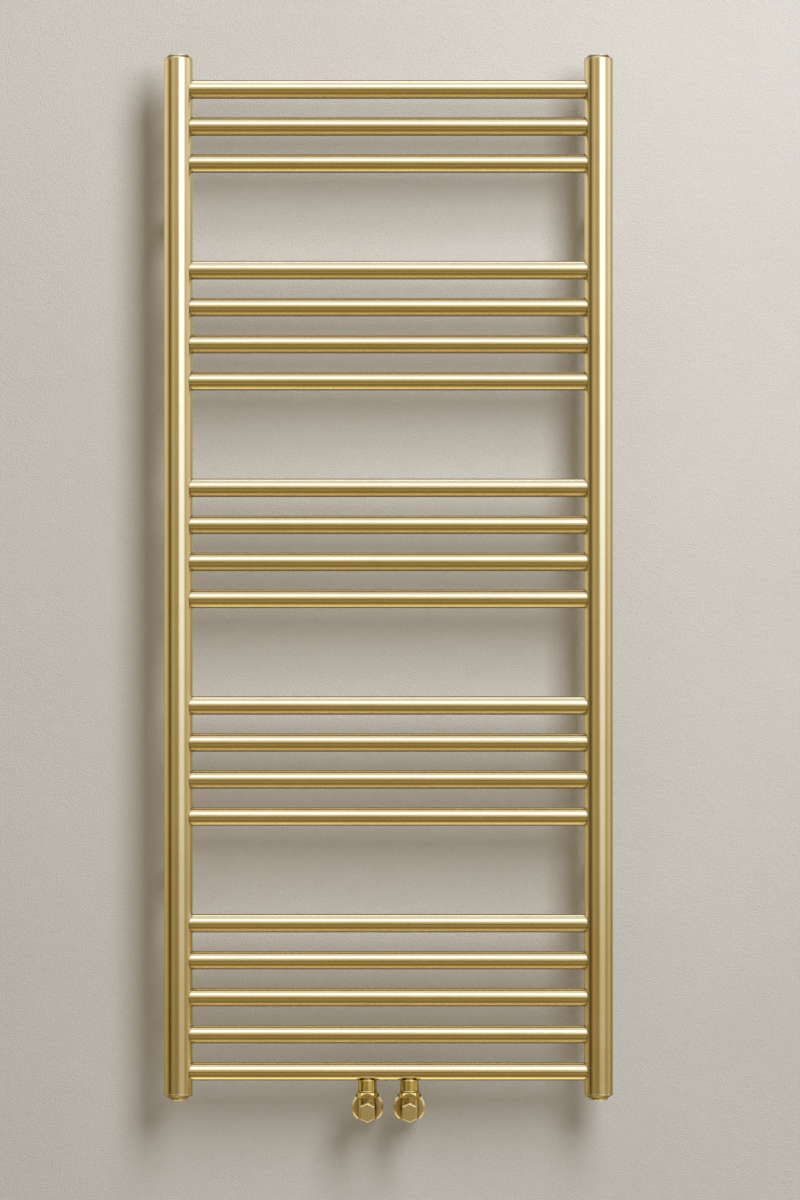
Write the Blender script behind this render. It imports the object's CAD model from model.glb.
import math

import bpy
from mathutils import Matrix, Vector


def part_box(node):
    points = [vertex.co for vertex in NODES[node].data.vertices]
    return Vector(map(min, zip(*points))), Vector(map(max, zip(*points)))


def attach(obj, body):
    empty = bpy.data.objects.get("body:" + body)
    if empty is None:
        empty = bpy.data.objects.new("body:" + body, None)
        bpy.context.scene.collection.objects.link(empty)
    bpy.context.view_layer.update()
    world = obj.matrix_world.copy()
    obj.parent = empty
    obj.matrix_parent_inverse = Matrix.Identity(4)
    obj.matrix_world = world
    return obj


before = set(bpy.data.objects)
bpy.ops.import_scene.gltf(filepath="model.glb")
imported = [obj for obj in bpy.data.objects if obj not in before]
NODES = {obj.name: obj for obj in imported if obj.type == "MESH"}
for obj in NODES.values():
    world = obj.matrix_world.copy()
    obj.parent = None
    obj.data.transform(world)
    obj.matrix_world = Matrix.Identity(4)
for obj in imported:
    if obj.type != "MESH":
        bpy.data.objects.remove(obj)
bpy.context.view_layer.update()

# Brushed-brass ladder towel rail on a plain wall. Metres, in the frame of the CAD model:
# the wall is y = 0, the front faces -Y, and +Z is up.
MM = 0.001


def centre(node):
    low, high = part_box(node)
    return (Vector(low) + Vector(high)) / 2


def extent(node, axis):
    low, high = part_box(node)
    return high[axis] - low[axis]


POST = {side: centre(f"{side}_post") for side in ("left", "right")}
POST_R = extent("left_post", 0) / 2
RUNGS = sorted(n for n in NODES if n.startswith("rung_"))
RUNG_R = extent("rung_10", 2) / 2
RAIL_Y = POST["left"].y
VALVE = {side: centre(f"{side}_head") for side in ("flow", "return")}


# ---------------------------------------------------------------- materials

class Graph:
    """A node material with a Principled shader, and short calls to wire it."""

    def __init__(self, name):
        self.material = bpy.data.materials.new(name)
        self.material.use_nodes = True
        self.tree = self.material.node_tree
        self.shader = next(n for n in self.tree.nodes if n.type == "BSDF_PRINCIPLED")

    def node(self, kind, inputs=(), **settings):
        made = self.tree.nodes.new(kind)
        for key, value in settings.items():
            setattr(made, key, value)
        for key, value in dict(inputs).items():
            if isinstance(value, bpy.types.NodeSocket):
                self.tree.links.new(value, made.inputs[key])
            else:
                made.inputs[key].default_value = value
        return made

    def coordinates(self):
        return self.node("ShaderNodeTexCoord").outputs["Object"]

    def scaled(self, vector, scale):
        return self.node("ShaderNodeMapping", {"Vector": vector, "Scale": scale}).outputs[0]

    def noise(self, vector, scale, detail=3.0, rough=0.55):
        made = self.node(
            "ShaderNodeTexNoise",
            {"Vector": vector, "Scale": scale, "Detail": detail, "Roughness": rough},
        )
        return made.outputs["Fac"]

    def math(self, operation, a, b=0.0, c=0.0):
        return self.node("ShaderNodeMath", {0: a, 1: b, 2: c}, operation=operation).outputs[0]

    def spread(self, value, low, high):
        """Maps the middle of a noise's range to low..high."""
        made = self.node(
            "ShaderNodeMapRange",
            {"Value": value, "From Min": 0.3, "From Max": 0.7, "To Min": low, "To Max": high},
        )
        return made.outputs[0]

    def mix(self, factor, a, b):
        made = self.node(
            "ShaderNodeMix", {0: factor, 6: a, 7: b}, data_type="RGBA", clamp_factor=True
        )
        return made.outputs[2]

    def bevelled(self, radius):
        """The surface's normal rounded over its edges, and a mask that is 1 on the edges."""
        soft = self.node("ShaderNodeBevel", {"Radius": radius}, samples=6).outputs[0]
        plain = self.node("ShaderNodeNewGeometry").outputs["Normal"]
        dot = self.node(
            "ShaderNodeVectorMath", {0: soft, 1: plain}, operation="DOT_PRODUCT"
        ).outputs["Value"]
        mask = self.node(
            "ShaderNodeMapRange", {"Value": dot, "From Min": 0.995, "From Max": 0.90}
        ).outputs[0]
        return soft, mask

    def crevices(self, reach, deepest):
        """0 on open surfaces, rising to 1 where only the share deepest of the surroundings
        within reach is open, as in narrow gaps and inside corners."""
        open_sky = self.node(
            "ShaderNodeAmbientOcclusion", {"Distance": reach}, samples=4
        ).outputs["AO"]
        made = self.node(
            "ShaderNodeMapRange", {"Value": open_sky, "From Min": 0.92, "From Max": deepest}
        )
        return made.outputs[0]

    def bump(self, height, strength, distance, normal=None):
        inputs = {"Height": height, "Strength": strength, "Distance": distance}
        if normal is not None:
            inputs["Normal"] = normal
        return self.node("ShaderNodeBump", inputs).outputs[0]

    def plug(self, **inputs):
        for key, value in inputs.items():
            socket = self.shader.inputs[key.replace("_", " ")]
            if isinstance(value, bpy.types.NodeSocket):
                self.tree.links.new(value, socket)
            else:
                socket.default_value = value


def shade(colour, factor=1.0):
    return tuple(min(1.0, c * factor) for c in colour) + (1.0,)


TARNISH = (0.16, 0.085, 0.025, 1.0)
DULLEST = 0.8  # share of tarnish where a cloth doesn't reach
WORN_GREY, WORN_SHARE = 0.9, 0.45  # a worn edge is this much nearer to this grey
GRAIN_DEPTH = 0.04 * MM
# Sizes of the metal's variations, as noise scales per metre
CLOUDS, WEAR_MARKS, SPECKS = 11.0, 240.0, 900.0


def metal(
    name, colour, roughness, grain, wear=0.5, edge=0.4 * MM, bump=0.05, cloud=0.02,
    tarnish=0.75, reach=3.0 * MM, deepest=0.42, unpolished=None,
):
    """Metal with a grain, worn edges and tarnish in its corners. grain(graph, coordinates)
    gives the grain's value, cloud is how far the roughness drifts over a hand's breadth, and
    tarnish fills gaps up to reach wide. unpolished = (front, back) tarnishes the metal
    gradually between those two depths towards the wall, where a cloth doesn't reach."""
    g = Graph(name)
    at = g.coordinates()
    lines = grain(g, at)
    clouds = g.noise(at, CLOUDS, 4.0)
    specks = g.noise(at, SPECKS, 2.0)
    soft, edges = g.bevelled(edge)
    worn = g.math("MULTIPLY", edges, g.spread(g.noise(at, WEAR_MARKS), 0.15, 1.0))
    worn = g.math("MULTIPLY", worn, wear)
    tint = g.mix(g.spread(clouds, 0.0, 1.0), shade(colour, 0.955), shade(colour, 1.03))
    tint = g.mix(g.spread(lines, 0.0, 0.5), tint, shade(colour, 0.90))
    bare = tuple((1 - WORN_SHARE) * c + WORN_SHARE * WORN_GREY for c in colour)
    rough = g.math("ADD", g.spread(lines, -0.035, 0.045), g.spread(clouds, -cloud, cloud))
    rough = g.math("ADD", rough, g.spread(specks, -0.015, 0.02))
    rough = g.math("ADD", rough, roughness)
    rough = g.math("MULTIPLY_ADD", worn, -0.10, rough)
    grime = g.math("MULTIPLY", g.crevices(reach, deepest), tarnish)
    if unpolished:
        depth = g.node("ShaderNodeSeparateXYZ", {0: at}).outputs[1]
        front, back = unpolished
        shadowed = g.node(
            "ShaderNodeMapRange",
            {"Value": depth, "From Min": front, "From Max": back, "To Max": DULLEST},
            interpolation_type="SMOOTHSTEP",
        ).outputs[0]
        grime = g.math("MAXIMUM", grime, shadowed)
    rough = g.math("MULTIPLY_ADD", grime, 0.12, rough)
    tint = g.mix(grime, g.mix(worn, tint, shade(bare)), TARNISH)
    g.plug(
        Base_Color=tint,
        Metallic=1.0,
        Roughness=rough,
        Normal=g.bump(lines, bump, GRAIN_DEPTH, soft),
    )
    return g.material


def brushed(*stretch):
    """Grain of fine lines: a small number in stretch along the lines, large ones across."""
    def grain(g, at):
        fine = g.noise(g.scaled(at, stretch), 1.0, 2.0, 0.6)
        broad = g.noise(g.scaled(at, [s * 0.22 for s in stretch]), 1.0, 2.0, 0.5)
        return g.math("MULTIPLY_ADD", broad, 0.25, g.math("MULTIPLY", fine, 0.75))
    return grain


def turned(middle, axis, pitch=0.4 * MM):
    """Lathe marks: rings about an axis through middle, on faces and round sides alike."""
    def grain(g, at):
        off = g.node(
            "ShaderNodeVectorMath", {0: at, 1: tuple(middle)}, operation="SUBTRACT"
        ).outputs[0]
        along = [0.0, 0.0, 0.0]
        along[axis] = 1.0
        flat = g.node(
            "ShaderNodeVectorMath",
            {0: off, 1: [1.0 - a for a in along]},
            operation="MULTIPLY",
        ).outputs[0]
        radius = g.node(
            "ShaderNodeVectorMath", {0: flat}, operation="LENGTH"
        ).outputs["Value"]
        depth = g.node(
            "ShaderNodeVectorMath", {0: off, 1: along}, operation="DOT_PRODUCT"
        ).outputs["Value"]
        w = g.math("MULTIPLY", g.math("ADD", radius, depth), 1 / pitch)
        return g.node(
            "ShaderNodeTexNoise",
            {"W": w, "Scale": 1.0, "Detail": 3.0, "Roughness": 0.6},
            noise_dimensions="1D",
        ).outputs["Fac"]
    return grain


def cast(scale=700.0):
    """Even, fine tumbled surface with no direction."""
    def grain(g, at):
        return g.noise(at, scale, 4.0, 0.6)
    return grain


def rubber():
    g = Graph("black_rubber")
    at = g.coordinates()
    dust = g.noise(at, 300.0, 4.0)
    fine = g.noise(at, 2500.0, 2.0)
    g.plug(
        Base_Color=g.mix(
            g.spread(dust, 0.0, 1.0), (0.012, 0.012, 0.012, 1), (0.035, 0.034, 0.032, 1)
        ),
        Roughness=g.spread(fine, 0.55, 0.75),
        Normal=g.bump(fine, 0.3, 0.05 * MM),
    )
    return g.material


RAIL_BRASS = (0.80, 0.64, 0.345)
VALVE_BRASS = (0.95, 0.73, 0.28)
HEAD_BRASS = (0.78, 0.60, 0.27)
BARE_BRASS = (0.78, 0.62, 0.33)
STEEL = (0.62, 0.56, 0.46)  # warm, against the blue of the studio's brightest parts

ACROSS, ALONG = 5200.0, 9.0  # the brushing's lines per metre, and their changes per metre
post_brass = metal("post_brass", RAIL_BRASS, 0.18, brushed(ACROSS, ACROSS, ALONG), bump=0.035)
rung_brass = metal(
    "rung_brass", RAIL_BRASS, 0.17, brushed(ALONG, ACROSS, ACROSS), bump=0.015, cloud=0.005
)
braze = metal("braze", (0.42, 0.27, 0.10), 0.26, cast(500.0), wear=0.0, tarnish=0.9)
# Tarnish between the crowded pieces of a valve, and on the side of it that faces the wall
DEEP = {"tarnish": 0.95, "reach": 10.0 * MM, "deepest": 0.60}
REAR = {"unpolished": (RAIL_Y - 7.5 * MM, RAIL_Y - 2.0 * MM)}
cast_brass = metal("cast_brass", VALVE_BRASS, 0.13, cast(420.0), wear=0.5, **DEEP, **REAR)
head_brass = metal(
    "head_brass", HEAD_BRASS, 0.27, brushed(4200.0, 4200.0, 200.0), wear=0.8, edge=0.7 * MM,
    bump=0.015, cloud=0.008,
)
black_rubber = rubber()


def paint(node, material):
    for slot in NODES[node].material_slots:
        slot.material = material


for side in ("left", "right"):
    paint(f"{side}_post", post_brass)
    turned_z = metal(f"turned_{side}", RAIL_BRASS, 0.21, turned(POST[side], 2))
    for end in ("top", "bottom"):
        paint(f"{end}_{side}_cap", turned_z)
    for level in ("top", "bottom"):
        node = f"wall_sleeve_{level}_{side}"
        paint(node, metal(f"turned_{node}", RAIL_BRASS, 0.24, turned(centre(node), 1)))
for node in RUNGS:
    paint(node, rung_brass)
paint("air_vent_plug", metal("turned_vent", RAIL_BRASS, 0.19, turned(POST["left"], 2)))
paint("top_blanking_plug", metal("turned_plug", RAIL_BRASS, 0.19, turned(POST["right"], 2)))
paint("bottom_blanking_plugs", metal("plug_brass", VALVE_BRASS, 0.20, cast(800.0), wear=0.8))
paint("bleed_screw", metal("bleed_steel", STEEL, 0.26, cast(900.0), wear=0.6))
paint("bracket_bosses", metal("boss_brass", RAIL_BRASS, 0.28, cast(500.0)))
paint("bracket_pins", metal("pin_steel", STEEL, 0.24, brushed(4200.0, 30.0, 4200.0)))
paint("grub_screws", metal("grub_steel", STEEL, 0.30, cast(900.0), wear=0.6))
paint("flow_divider", metal("divider_brass", BARE_BRASS, 0.30, cast(600.0)))
paint("olives", metal("olive_brass", BARE_BRASS, 0.26, brushed(900.0, 40.0, 900.0)))
for node in ("plug_gaskets", "union_gaskets", "spindle_o_rings"):
    paint(node, black_rubber)
for side, middle in VALVE.items():
    stem = Vector((middle.x, RAIL_Y, middle.z))
    upright = metal(
        f"{side}_upright", VALVE_BRASS, 0.12, turned(stem, 2), wear=0.5, **DEEP, **REAR
    )
    level = metal(f"{side}_level", BARE_BRASS, 0.24, turned(stem, 1), wear=0.6, **DEEP)
    inlet = metal(f"{side}_inlet", VALVE_BRASS, 0.13, turned(stem, 2), **REAR)
    paint(f"{side}_inlet_boss", inlet)
    paint(f"{side}_tail", upright)
    paint(f"{side}_union_nut", upright)
    paint(f"{side}_valve_body", cast_brass)
    paint(f"{side}_bonnet", level)
    paint(f"{side}_poppet", level)
    paint(f"{side}_spindle", metal(f"{side}_steel", STEEL, 0.25, turned(stem, 1)))
    paint(f"{side}_head", head_brass)
    nut_brass = metal(
        f"{side}_nut", HEAD_BRASS, 0.27, turned(stem, 1), wear=0.3,
        tarnish=0.92, reach=6.0 * MM,
    )
    paint(f"{side}_compression_nut", nut_brass)


# ---------------------------------------------------------------- mesh pieces

def mesh_piece(name, vertices, faces, material, body, slot):
    mesh = bpy.data.meshes.new(name)
    mesh.from_pydata([tuple(v) for v in vertices], [], faces)
    mesh.validate()
    mesh.update()
    for polygon in mesh.polygons:
        polygon.use_smooth = True
    mesh.materials.append(material)
    made = bpy.data.objects.new(name, mesh)
    bpy.context.scene.collection.objects.link(made)
    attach(made, body)
    return made


def loft(rings, closed_along):
    """Vertices and quads through rings of equal length. Each ring is a closed loop."""
    count = len(rings[0])
    vertices = [v for ring in rings for v in ring]
    faces = []
    spans = len(rings) if closed_along else len(rings) - 1
    for i in range(spans):
        here, there = i * count, (i + 1) % len(rings) * count
        for j in range(count):
            k = (j + 1) % count
            faces.append((here + j, here + k, there + k, there + j))
    if not closed_along:
        last = (len(rings) - 1) * count
        faces.append(tuple(range(count - 1, -1, -1)))
        faces.append(tuple(range(last, last + count)))
    return vertices, faces


def saddle_fillet(
    origin, main, branch, main_r, branch_r, leg, steps=72, arc=5, sink=0.04 * MM
):
    """Closed concave fillet where a branch tube leaves a main tube at a right angle.
    main and branch are the tubes' unit axes, and origin is where they cross. leg is the
    fillet's size, and its edges lie sink below the tubes' surfaces."""
    turn = Matrix((branch, main.cross(branch), main)).transposed()

    def on_main(angle, height, r):
        return Vector((r * math.cos(angle), r * math.sin(angle), height))

    def on_branch(angle, reach, r):
        return Vector((reach, r * math.cos(angle), r * math.sin(angle)))

    def curve(phi):
        angle = math.asin(max(-1.0, min(1.0, branch_r * math.cos(phi) / main_r)))
        return angle, branch_r * math.sin(phi), main_r * math.cos(angle)

    rings = []
    for i in range(steps):
        phi = 2 * math.pi * (i + 0.5) / steps
        angle, height, reach = curve(phi)
        ahead, behind = curve(phi + 0.01), curve(phi - 0.01)
        d_arc, d_height = main_r * (ahead[0] - behind[0]), ahead[1] - behind[1]
        d_turn, d_reach = 0.02 * branch_r, ahead[2] - behind[2]
        size = leg * math.sqrt(max(0.0, 1 - (math.sin(angle) * math.cos(phi)) ** 2))
        size = max(size, 2.5 * sink)
        n_main = Vector((d_height, -d_arc)).normalized() * size
        n_branch = Vector((-d_reach, d_turn)).normalized() * size
        corner = on_main(angle, height, main_r)
        first = on_main(angle + n_main.x / main_r, height + n_main.y, main_r - sink)
        last = on_branch(phi + n_branch.x / branch_r, reach + n_branch.y, branch_r - sink)
        ring = []
        for j in range(arc + 1):
            t = j / arc
            ring.append((1 - t) ** 2 * first + 2 * t * (1 - t) * corner + t * t * last)
        ring.append(corner - (on_main(angle, 0, 1) + on_branch(phi, 0, 1)) * 6 * sink)
        rings.append([origin + turn @ v for v in ring])
    return loft(rings, True)


def helix_ridge(origin, axis, radius, start, end, pitch, height, per_turn=48):
    """Closed ridge of a screw thread round an axis, tapering out at both ends."""
    axis = axis.normalized()
    u = axis.orthogonal().normalized()
    v = axis.cross(u)
    turns = (end - start) / pitch
    count = int(turns * per_turn)
    rings = []
    for i in range(count + 1):
        turn = i / per_turn * 2 * math.pi
        at = start + i / per_turn * pitch
        fade = min(1.0, i / (per_turn * 0.5), (count - i) / (per_turn * 0.5))
        rise = max(height * fade, 0.00002)
        out = u * math.cos(turn) + v * math.sin(turn)
        root, crest = radius - 0.0001, radius + rise
        half = pitch * 0.42
        profile = ((root, -half), (crest, -half * 0.2), (crest, half * 0.2), (root, half))
        rings.append([origin + axis * (at + d) + out * r for r, d in profile])
    return loft(rings, False)


def joined(parts):
    vertices, faces = [], []
    for part_vertices, part_faces in parts:
        base = len(vertices)
        vertices += part_vertices
        faces += [tuple(base + k for k in face) for face in part_faces]
    return vertices, faces


UP, RIGHT, BACK = Vector((0, 0, 1)), Vector((1, 0, 0)), Vector((0, 1, 0))
RUNG_FILLET, BOSS_FILLET, INLET_FILLET, CAST_FILLET = 0.8 * MM, 1.8 * MM, 0.9 * MM, 1.6 * MM

for side, inward in (("left", RIGHT), ("right", -RIGHT)):
    fillets = [
        saddle_fillet(
            Vector((POST[side].x, RAIL_Y, centre(rung).z)), UP, inward, POST_R, RUNG_R, RUNG_FILLET
        )
        for rung in RUNGS
    ]
    mesh_piece(f"rung_fillets_{side}", *joined(fillets), braze, "radiator", "satin_brass")

BOSS_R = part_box("bracket_bosses")[1][0] - POST["right"].x
levels = [centre("wall_sleeve_top_left").z, centre("wall_sleeve_bottom_left").z]
mesh_piece(
    "bracket_boss_fillets",
    *joined([
        saddle_fillet(Vector((POST[s].x, RAIL_Y, z)), UP, BACK, POST_R, BOSS_R, BOSS_FILLET)
        for s in POST for z in levels
    ]),
    braze, "radiator", "satin_brass",
)

bottom_rung = centre("rung_01")
INLET_NECK_R = 8.2 * MM
mesh_piece(
    "inlet_fillets",
    *joined([
        saddle_fillet(
            Vector((m.x, RAIL_Y, bottom_rung.z)), RIGHT, -UP, RUNG_R, INLET_NECK_R, INLET_FILLET
        )
        for m in VALVE.values()
    ]),
    braze, "radiator", "satin_brass",
)

ARM_R, BARREL_R = 10.0 * MM, 11.0 * MM
THREAD_START, THREAD_END = -8.2 * MM, -0.7 * MM  # from the compression nut's front
THREAD_PITCH, THREAD_HEIGHT = 1.5 * MM, 0.65 * MM
for side, middle in VALVE.items():
    hub = Vector((middle.x, RAIL_Y, middle.z))
    mesh_piece(
        f"{side}_body_fillet",
        *saddle_fillet(hub, UP, BACK, BARREL_R, ARM_R, CAST_FILLET),
        cast_brass, "radiator", "valve_brass",
    )
    nut_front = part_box(f"{side}_compression_nut")[0][1] - RAIL_Y
    mesh_piece(
        f"{side}_arm_thread",
        *helix_ridge(
            hub, BACK, ARM_R, nut_front + THREAD_START, nut_front + THREAD_END,
            THREAD_PITCH, THREAD_HEIGHT,
        ),
        cast_brass, "radiator", "valve_brass",
    )


# ---------------------------------------------------------------- stage

def one_sided(g):
    """Lets a camera behind the surface see through it."""
    out = next(n for n in g.tree.nodes if n.type == "OUTPUT_MATERIAL")
    behind = g.node("ShaderNodeNewGeometry").outputs["Backfacing"]
    clear = g.node("ShaderNodeBsdfTransparent").outputs[0]
    mixed = g.node("ShaderNodeMixShader", {0: behind, 1: g.shader.outputs[0], 2: clear})
    g.tree.links.new(mixed.outputs[0], out.inputs["Surface"])


def plaster():
    g = Graph("plaster")
    at = g.coordinates()
    grain = g.noise(at, 560.0, 2.0, 0.5)
    patches = g.noise(at, 2.2, 4.0)
    swell = g.noise(at, 26.0, 4.0)
    height = g.math("MULTIPLY_ADD", swell, 0.5, grain)
    tint = g.mix(g.spread(patches, 0.0, 1.0), (0.652, 0.638, 0.612, 1), (0.690, 0.678, 0.654, 1))
    tint = g.mix(g.spread(grain, 0.0, 0.10), tint, (0.50, 0.46, 0.41, 1))
    g.plug(Base_Color=tint, Roughness=0.9, Normal=g.bump(height, 1.0, 1.4 * MM))
    one_sided(g)
    return g.material


def floor_paint():
    g = Graph("floor_paint")
    at = g.coordinates()
    patches = g.noise(at, 1.5, 4.0)
    g.plug(
        Base_Color=g.mix(g.spread(patches, 0, 1), (0.55, 0.52, 0.47, 1), (0.59, 0.56, 0.51, 1)),
        Roughness=g.spread(g.noise(at, 40.0), 0.6, 0.75),
    )
    one_sided(g)
    return g.material


def panel(name, corners, material):
    mesh = bpy.data.meshes.new(name)
    mesh.from_pydata(corners, [], [tuple(range(len(corners)))])
    mesh.materials.append(material)
    made = bpy.data.objects.new(name, mesh)
    bpy.context.scene.collection.objects.link(made)
    return made


FLOOR_Z, WALL_Y, WALL_W, WALL_TOP, ROOM = -1.2, 0.0003, 5.0, 3.4, 7.0
wall = panel(
    "wall",
    [
        (-WALL_W, WALL_Y, FLOOR_Z), (WALL_W, WALL_Y, FLOOR_Z),
        (WALL_W, WALL_Y, WALL_TOP), (-WALL_W, WALL_Y, WALL_TOP),
    ],
    plaster(),
)
floor = panel(
    "floor",
    [
        (-WALL_W, -ROOM, FLOOR_Z), (WALL_W, -ROOM, FLOOR_Z),
        (WALL_W, 2.0, FLOOR_Z), (-WALL_W, 2.0, FLOOR_Z),
    ],
    floor_paint(),
)
for backdrop in (wall, floor):
    backdrop.visible_glossy = False  # metal reflects the world's studio instead


# ---------------------------------------------------------------- light and camera

def away(azimuth, elevation):
    """Unit vector towards a light: azimuth 0 is in front, and positive to the right."""
    a, e = math.radians(azimuth), math.radians(elevation)
    return Vector((math.sin(a) * math.cos(e), -math.cos(a) * math.cos(e), math.sin(e)))


def softbox(name, azimuth, elevation, distance, width, height, radiance, colour):
    """Area light aimed at the rail, which neither the camera nor the metal sees."""
    lamp = bpy.data.lights.new(name, "AREA")
    lamp.shape = "RECTANGLE"
    lamp.size, lamp.size_y = width, height
    lamp.energy = radiance * math.pi * width * height
    lamp.color = colour
    made = bpy.data.objects.new(name, lamp)
    direction = away(azimuth, elevation)
    made.location = Vector((0, RAIL_Y, 0)) + direction * distance
    made.rotation_mode = "QUATERNION"
    made.rotation_quaternion = direction.to_track_quat("Z", "Y")
    made.visible_camera = False
    made.visible_glossy = False  # metal reflects the softboxes of the studio below instead
    bpy.context.scene.collection.objects.link(made)


softbox("key", 24, 31, 2.8, 1.0, 2.1, 10.7, (0.927, 0.962, 1.0))
softbox("fill", -35, 20, 3.5, 2.0, 2.0, 0.25, (1.0, 0.93, 0.82))


def studio():
    """World: a plain warm fill for the wall, and the softboxes and flags that metal reflects."""
    world = bpy.data.worlds.new("studio")
    bpy.context.scene.world = world
    world.use_nodes = True
    world.cycles.sampling_method = "NONE"
    tree = world.node_tree
    tree.nodes.clear()

    def node(kind, inputs=(), **settings):
        made = tree.nodes.new(kind)
        for name, value in settings.items():
            setattr(made, name, value)
        for name, value in dict(inputs).items():
            if isinstance(value, bpy.types.NodeSocket):
                tree.links.new(value, made.inputs[name])
            else:
                made.inputs[name].default_value = value
        return made

    def calc(operation, first, second=0.0):
        return node("ShaderNodeMath", {0: first, 1: second}, operation=operation).outputs[0]

    def step(value, low, high):
        made = node(
            "ShaderNodeMapRange",
            {"Value": value, "From Min": low, "From Max": high},
            interpolation_type="SMOOTHSTEP",
        )
        return made.outputs[0]

    def ramp(value, stops):
        """Colour between stops of (value, colour or grey)."""
        low, high = stops[0][0], stops[-1][0]
        at = node("ShaderNodeMapRange", {"Value": value, "From Min": low, "From Max": high})
        made = node("ShaderNodeValToRGB", {"Fac": at.outputs[0]})
        elements = made.color_ramp.elements
        while len(elements) < len(stops):
            elements.new(0.5)
        for element, (position, colour) in zip(elements, stops):
            element.position = (position - low) / (high - low)
            element.color = (*colour, 1) if isinstance(colour, tuple) else (colour,) * 3 + (1,)
        return made.outputs["Color"]

    def mix(kind, factor, first, second):
        made = node(
            "ShaderNodeMix", {0: factor, 6: first, 7: second}, data_type="RGBA", blend_type=kind
        )
        return made.outputs[2]

    def glow(colour, strength):
        return node("ShaderNodeBackground", {0: colour, 1: strength}).outputs[0]

    def choose(factor, first, second):
        return node("ShaderNodeMixShader", {0: factor, 1: first, 2: second}).outputs[0]

    x, y, z = node(
        "ShaderNodeSeparateXYZ", {0: node("ShaderNodeTexCoord").outputs["Generated"]}
    ).outputs
    forward = calc("MULTIPLY", y, -1.0)
    degrees = 180 / math.pi
    elevation = calc("MULTIPLY", calc("ARCSINE", z), degrees)
    azimuth = calc("MULTIPLY", calc("ARCTAN2", x, forward), degrees)
    pitch = calc("MULTIPLY", calc("ARCTAN2", z, forward), degrees)

    # Brightness over the height, which the level tubes show: 0 is in front and 90 overhead
    over = ramp(pitch, [
        (-180, 0.14), (-138, 0.14), (-124, 0.30), (-110, 0.95), (-98, 1.22), (-86, 0.98),
        (-76, 0.42), (-62, 0.30), (-47, 0.21), (-34, 0.39), (-20, 0.56), (-8, 0.53),
        (5, 0.57), (17, 0.75), (27, 1.00), (34, 1.55), (50, 1.55), (58, 1.05),
        (66, 0.84), (76, 0.90), (90, 1.25), (112, 1.60), (124, 0.80), (136, 0.16), (180, 0.14),
    ])
    # Brightness round the room at the height of the rail, which the upright tubes show
    around = ramp(azimuth, [
        (-180, 0.45), (-142, 0.48), (-124, 0.74), (-104, 0.62), (-88, 0.54), (-80, 0.24),
        (-72, 0.07), (-64, 0.13), (-54, 0.38), (-37, 0.60), (-22, 0.44), (0, 0.44),
        (54, 0.58), (66, 0.52), (76, 0.70), (98, 0.84), (114, 0.52), (150, 0.42), (180, 0.45),
    ])
    fade = ramp(elevation, [(-14, 0.36), (-6, 0.66), (0, 1.0), (6, 1.24), (14, 1.45)])
    level = calc("MULTIPLY", step(elevation, -30, -12), step(elevation, 24, 10))
    room = calc("MULTIPLY", around, fade)
    steep = calc("MULTIPLY", over, calc("SUBTRACT", 1.0, level))
    room = calc("ADD", steep, calc("MULTIPLY", room, level))

    # A tall softbox to the right of the camera, dimmer towards its foot
    tall = calc("MULTIPLY", step(azimuth, 2, 13), step(azimuth, 64, 40))
    tall = calc("MULTIPLY", tall, step(elevation, 60, 40))
    shine = ramp(elevation, [(-12, 0.0), (-6, 0.16), (-2, 0.44), (2, 0.76), (8, 1.25), (40, 1.25)])
    value = calc("ADD", room, calc("MULTIPLY", tall, shine))

    # Dim parts of the room are browner and bright ones whiter
    peak = 3.6
    seen = ramp(value, [
        (0.0, (0.0, 0.0, 0.0)), (0.18, (0.050, 0.037, 0.012)), (0.38, (0.106, 0.087, 0.041)),
        (0.52, (0.144, 0.127, 0.075)), (0.80, (0.222, 0.219, 0.200)), (1.0, (0.278, 0.300, 0.360)),
        (1.2, (0.333, 0.395, 0.560)), (1.6, (0.444, 0.535, 0.86)), (2.2, (0.61, 0.74, 1.0)),
    ])
    seen = mix("MULTIPLY", 1.0, seen, (peak, peak, peak, 1))

    # The floor of the room is a warm wood
    plain, wood = (1.0, 1.0, 1.0), (1.18, 1.02, 0.52)
    warmth = ramp(pitch, [
        (-180, plain), (-116, plain), (-104, wood), (-80, wood), (-70, plain), (180, plain),
    ])
    seen = mix("MULTIPLY", 1.0, seen, warmth)

    path = node("ShaderNodeLightPath").outputs
    shown = choose(path["Is Glossy Ray"], glow((1.0, 0.77, 0.46, 1), 0.285), glow(seen, 1.0))
    shown = choose(path["Is Camera Ray"], shown, glow((0.86, 0.84, 0.80, 1), 0.85))
    output = node("ShaderNodeOutputWorld")
    tree.links.new(shown, output.inputs["Surface"])


studio()

# The camera stands opposite the middle of the rail, a little below and to the right of it
CAMERA_X, CAMERA_Z, CAMERA_DISTANCE = 0.0138, -0.0674, 5.2
FRAME_HEIGHT, SENSOR = 1.428, 36.0
camera_data = bpy.data.cameras.new("camera")
camera_data.sensor_width = SENSOR
camera_data.lens = SENSOR * CAMERA_DISTANCE / FRAME_HEIGHT
camera = bpy.data.objects.new("camera", camera_data)
camera.location = (CAMERA_X, RAIL_Y - CAMERA_DISTANCE, CAMERA_Z)
camera.rotation_euler = (math.radians(90), 0, 0)
bpy.context.scene.collection.objects.link(camera)
bpy.context.scene.camera = camera
bpy.context.scene.view_settings.view_transform = "Standard"
